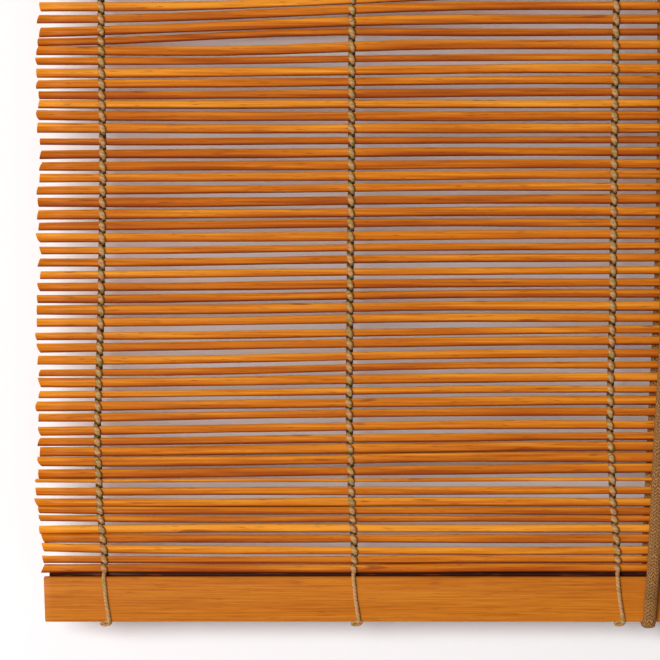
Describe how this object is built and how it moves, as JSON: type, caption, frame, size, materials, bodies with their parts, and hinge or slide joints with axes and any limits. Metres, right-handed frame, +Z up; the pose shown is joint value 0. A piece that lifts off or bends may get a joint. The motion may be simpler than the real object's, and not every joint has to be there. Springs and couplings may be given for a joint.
{
  "type": "bamboo roll up blind",
  "caption": "Bamboo roll-up blind: thin slats woven on twine under a head rail, rolled up from the bottom batten by two lift cords over pulleys.",
  "frame": {"origin": "on the head rail's back face, midway between its two wall-screw holes", "axes": "+X along the slats, to the right seen from the room; +Y into the wall, -Y to the room; +Z up"},
  "size_m": [0.92, 0.0462, 1.1582],
  "materials": {
    "bamboo_slats": "stained and lacquered bamboo, satin",
    "bamboo_batten": "stained and lacquered bamboo, satin, fine straight grain",
    "head_wood": "stained softwood, satin",
    "tassel_wood": "turned wood, satin lacquer",
    "twine": "two-strand twisted cotton twine",
    "cord": "flat braided cotton cord",
    "plated_steel": "zinc plated sheet",
    "pin_steel": "plated",
    "pulley_plastic": "moulded nylon",
    "brass": "plain"
  },
  "bodies": {
    "head": {"head_rail": "head_wood", "top_batten": "bamboo_batten", "valance_slats": "bamboo_slats", "warp_twine_front": "twine", "warp_twine_back": "twine", "warp_knots_top": "twine", "pulley_bracket_left": "plated_steel", "pulley_bracket_right": "plated_steel", "pulley_pin_left": "pin_steel", "pulley_pin_right": "pin_steel", "lock_housing": "plated_steel", "lock_pins": "pin_steel", "bracket_screws": "pin_steel", "anchor_eyes": "pin_steel", "lift_cord_knots": "cord", "lift_cord_back_runs": "cord", "lift_cord_over_left": "cord", "lift_cord_over_right": "cord", "pull_cord_left": "cord", "pull_cord_right": "cord", "pull_knot": "cord", "tassel": "tassel_wood"},
    "band_01": {"slats_01": "bamboo_slats"},
    "band_02": {"slats_02": "bamboo_slats"},
    "band_03": {"slats_03": "bamboo_slats"},
    "band_04": {"slats_04": "bamboo_slats"},
    "band_05": {"slats_05": "bamboo_slats"},
    "band_06": {"slats_06": "bamboo_slats"},
    "band_07": {"slats_07": "bamboo_slats"},
    "band_08": {"slats_08": "bamboo_slats"},
    "band_09": {"slats_09": "bamboo_slats"},
    "band_10": {"slats_10": "bamboo_slats"},
    "band_11": {"slats_11": "bamboo_slats"},
    "band_12": {"slats_12": "bamboo_slats"},
    "band_13": {"slats_13": "bamboo_slats"},
    "band_14": {"slats_14": "bamboo_slats"},
    "band_15": {"slats_15": "bamboo_slats"},
    "band_16": {"slats_16": "bamboo_slats"},
    "band_17": {"slats_17": "bamboo_slats"},
    "band_18": {"slats_18": "bamboo_slats"},
    "band_19": {"slats_19": "bamboo_slats"},
    "band_20": {"slats_20": "bamboo_slats"},
    "band_21": {"slats_21": "bamboo_slats"},
    "band_22": {"slats_22": "bamboo_slats"},
    "band_23": {"slats_23": "bamboo_slats"},
    "foot": {"bottom_rail": "bamboo_batten", "warp_knots_bottom": "twine"},
    "pulley_left": {"pulley_wheel_left": "pulley_plastic"},
    "pulley_right": {"pulley_wheel_right": "pulley_plastic"},
    "pulley_outer": {"pulley_wheel_outer": "pulley_plastic"},
    "guide_roller": {"lock_guide_roller": "pulley_plastic"},
    "cam": {"lock_cam": "brass"},
    "front_run": {"lift_cord_front_runs": "cord"},
    "lift_loop": {"lift_cord_turns_back": "cord"},
    "loop_front": {"lift_cord_turns_front": "cord"}
  },
  "joints": [
    {"name": "roll_01", "type": "hinge", "parent": "head", "child": "band_01", "pos_m": [0, -0.023, -0.1113], "axis": [-1, 0, 0], "range_deg": [0, 60], "deforming": ["warp_twine_front", "warp_twine_back", "lift_cord_back_runs", "lift_cord_over_left", "lift_cord_over_right"]},
    {"name": "roll_02", "type": "hinge", "parent": "band_01", "child": "band_02", "pos_m": [0, -0.023, -0.16897], "axis": [-1, 0, 0], "range_deg": [0, 60]},
    {"name": "roll_03", "type": "hinge", "parent": "band_02", "child": "band_03", "pos_m": [0, -0.023, -0.2254], "axis": [-1, 0, 0], "range_deg": [0, 60]},
    {"name": "roll_04", "type": "hinge", "parent": "band_03", "child": "band_04", "pos_m": [0, -0.023, -0.28057], "axis": [-1, 0, 0], "range_deg": [0, 60]},
    {"name": "roll_05", "type": "hinge", "parent": "band_04", "child": "band_05", "pos_m": [0, -0.023, -0.33449], "axis": [-1, 0, 0], "range_deg": [0, 60]},
    {"name": "roll_06", "type": "hinge", "parent": "band_05", "child": "band_06", "pos_m": [0, -0.023, -0.38716], "axis": [-1, 0, 0], "range_deg": [0, 60]},
    {"name": "roll_07", "type": "hinge", "parent": "band_06", "child": "band_07", "pos_m": [0, -0.023, -0.43857], "axis": [-1, 0, 0], "range_deg": [0, 60]},
    {"name": "roll_08", "type": "hinge", "parent": "band_07", "child": "band_08", "pos_m": [0, -0.023, -0.48874], "axis": [-1, 0, 0], "range_deg": [0, 60]},
    {"name": "roll_09", "type": "hinge", "parent": "band_08", "child": "band_09", "pos_m": [0, -0.023, -0.53766], "axis": [-1, 0, 0], "range_deg": [0, 60]},
    {"name": "roll_10", "type": "hinge", "parent": "band_09", "child": "band_10", "pos_m": [0, -0.023, -0.58533], "axis": [-1, 0, 0], "range_deg": [0, 60]},
    {"name": "roll_11", "type": "hinge", "parent": "band_10", "child": "band_11", "pos_m": [0, -0.023, -0.63174], "axis": [-1, 0, 0], "range_deg": [0, 60]},
    {"name": "roll_12", "type": "hinge", "parent": "band_11", "child": "band_12", "pos_m": [0, -0.023, -0.6769], "axis": [-1, 0, 0], "range_deg": [0, 60]},
    {"name": "roll_13", "type": "hinge", "parent": "band_12", "child": "band_13", "pos_m": [0, -0.023, -0.72082], "axis": [-1, 0, 0], "range_deg": [0, 60]},
    {"name": "roll_14", "type": "hinge", "parent": "band_13", "child": "band_14", "pos_m": [0, -0.023, -0.76348], "axis": [-1, 0, 0], "range_deg": [0, 60]},
    {"name": "roll_15", "type": "hinge", "parent": "band_14", "child": "band_15", "pos_m": [0, -0.023, -0.80489], "axis": [-1, 0, 0], "range_deg": [0, 60]},
    {"name": "roll_16", "type": "hinge", "parent": "band_15", "child": "band_16", "pos_m": [0, -0.023, -0.84505], "axis": [-1, 0, 0], "range_deg": [0, 60]},
    {"name": "roll_17", "type": "hinge", "parent": "band_16", "child": "band_17", "pos_m": [0, -0.023, -0.88396], "axis": [-1, 0, 0], "range_deg": [0, 60]},
    {"name": "roll_18", "type": "hinge", "parent": "band_17", "child": "band_18", "pos_m": [0, -0.023, -0.92162], "axis": [-1, 0, 0], "range_deg": [0, 60]},
    {"name": "roll_19", "type": "hinge", "parent": "band_18", "child": "band_19", "pos_m": [0, -0.023, -0.95803], "axis": [-1, 0, 0], "range_deg": [0, 60]},
    {"name": "roll_20", "type": "hinge", "parent": "band_19", "child": "band_20", "pos_m": [0, -0.023, -0.99318], "axis": [-1, 0, 0], "range_deg": [0, 60]},
    {"name": "roll_21", "type": "hinge", "parent": "band_20", "child": "band_21", "pos_m": [0, -0.023, -1.02709], "axis": [-1, 0, 0], "range_deg": [0, 60]},
    {"name": "roll_22", "type": "hinge", "parent": "band_21", "child": "band_22", "pos_m": [0, -0.023, -1.05974], "axis": [-1, 0, 0], "range_deg": [0, 60]},
    {"name": "roll_23", "type": "hinge", "parent": "band_22", "child": "band_23", "pos_m": [0, -0.023, -1.09115], "axis": [-1, 0, 0], "range_deg": [0, 60]},
    {"name": "roll_rail", "type": "hinge", "parent": "band_23", "child": "foot", "pos_m": [0, -0.023, -1.1213], "axis": [-1, 0, 0], "range_deg": [0, 60]},
    {"name": "cord_out", "type": "slide", "parent": "head", "child": "front_run", "axis": [0, -1, 0], "range_m": [0, 0.101], "deforming": ["lift_cord_front_runs"]},
    {"name": "loop_lift", "type": "slide", "parent": "head", "child": "lift_loop", "axis": [0, 0, 1], "range_m": [0, 0.996], "deforming": ["lift_cord_turns_back"]},
    {"name": "loop_out", "type": "slide", "parent": "lift_loop", "child": "loop_front", "axis": [0, -1, 0], "range_m": [0, 0.101], "deforming": ["lift_cord_turns_front"]},
    {"name": "pulley_left_spin", "type": "hinge", "parent": "head", "child": "pulley_left", "pos_m": [-0.19045, -0.0312, 0], "axis": [0, 1, 0], "continuous": true},
    {"name": "pulley_right_spin", "type": "hinge", "parent": "head", "child": "pulley_right", "pos_m": [0.19555, -0.0312, 0], "axis": [0, 1, 0], "continuous": true},
    {"name": "pulley_outer_spin", "type": "hinge", "parent": "head", "child": "pulley_outer", "pos_m": [0.19555, -0.0392, 0], "axis": [0, 1, 0], "continuous": true},
    {"name": "guide_roller_spin", "type": "hinge", "parent": "head", "child": "guide_roller", "pos_m": [0.45045, -0.0352, 0], "axis": [0, 1, 0], "continuous": true},
    {"name": "cam_swing", "type": "hinge", "parent": "head", "child": "cam", "pos_m": [0.43145, -0.0352, 0], "axis": [0, 1, 0], "range_deg": [0, 55]}
  ],
  "couplings": [
    {"joint": "roll_02", "follows": "roll_01", "ratio": 1},
    {"joint": "roll_03", "follows": "roll_01", "ratio": 1},
    {"joint": "roll_04", "follows": "roll_01", "ratio": 1},
    {"joint": "roll_05", "follows": "roll_01", "ratio": 1},
    {"joint": "roll_06", "follows": "roll_01", "ratio": 1},
    {"joint": "roll_07", "follows": "roll_01", "ratio": 1},
    {"joint": "roll_08", "follows": "roll_01", "ratio": 1},
    {"joint": "roll_09", "follows": "roll_01", "ratio": 1},
    {"joint": "roll_10", "follows": "roll_01", "ratio": 1},
    {"joint": "roll_11", "follows": "roll_01", "ratio": 1},
    {"joint": "roll_12", "follows": "roll_01", "ratio": 1},
    {"joint": "roll_13", "follows": "roll_01", "ratio": 1},
    {"joint": "roll_14", "follows": "roll_01", "ratio": 1},
    {"joint": "roll_15", "follows": "roll_01", "ratio": 1},
    {"joint": "roll_16", "follows": "roll_01", "ratio": 1},
    {"joint": "roll_17", "follows": "roll_01", "ratio": 1},
    {"joint": "roll_18", "follows": "roll_01", "ratio": 1},
    {"joint": "roll_19", "follows": "roll_01", "ratio": 1},
    {"joint": "roll_20", "follows": "roll_01", "ratio": 1},
    {"joint": "roll_21", "follows": "roll_01", "ratio": 1},
    {"joint": "roll_22", "follows": "roll_01", "ratio": 1},
    {"joint": "roll_23", "follows": "roll_01", "ratio": 1},
    {"joint": "roll_rail", "follows": "roll_01", "ratio": 1},
    {"joint": "cord_out", "follows": "roll_01", "m_per_rad": 0.096447},
    {"joint": "loop_lift", "follows": "roll_01", "m_per_rad": 0.9511},
    {"joint": "loop_out", "follows": "roll_01", "m_per_rad": 0.096447},
    {"joint": "pulley_right_spin", "follows": "pulley_left_spin", "ratio": 1},
    {"joint": "pulley_outer_spin", "follows": "pulley_left_spin", "ratio": 1},
    {"joint": "guide_roller_spin", "follows": "pulley_left_spin", "ratio": 1}
  ]
}
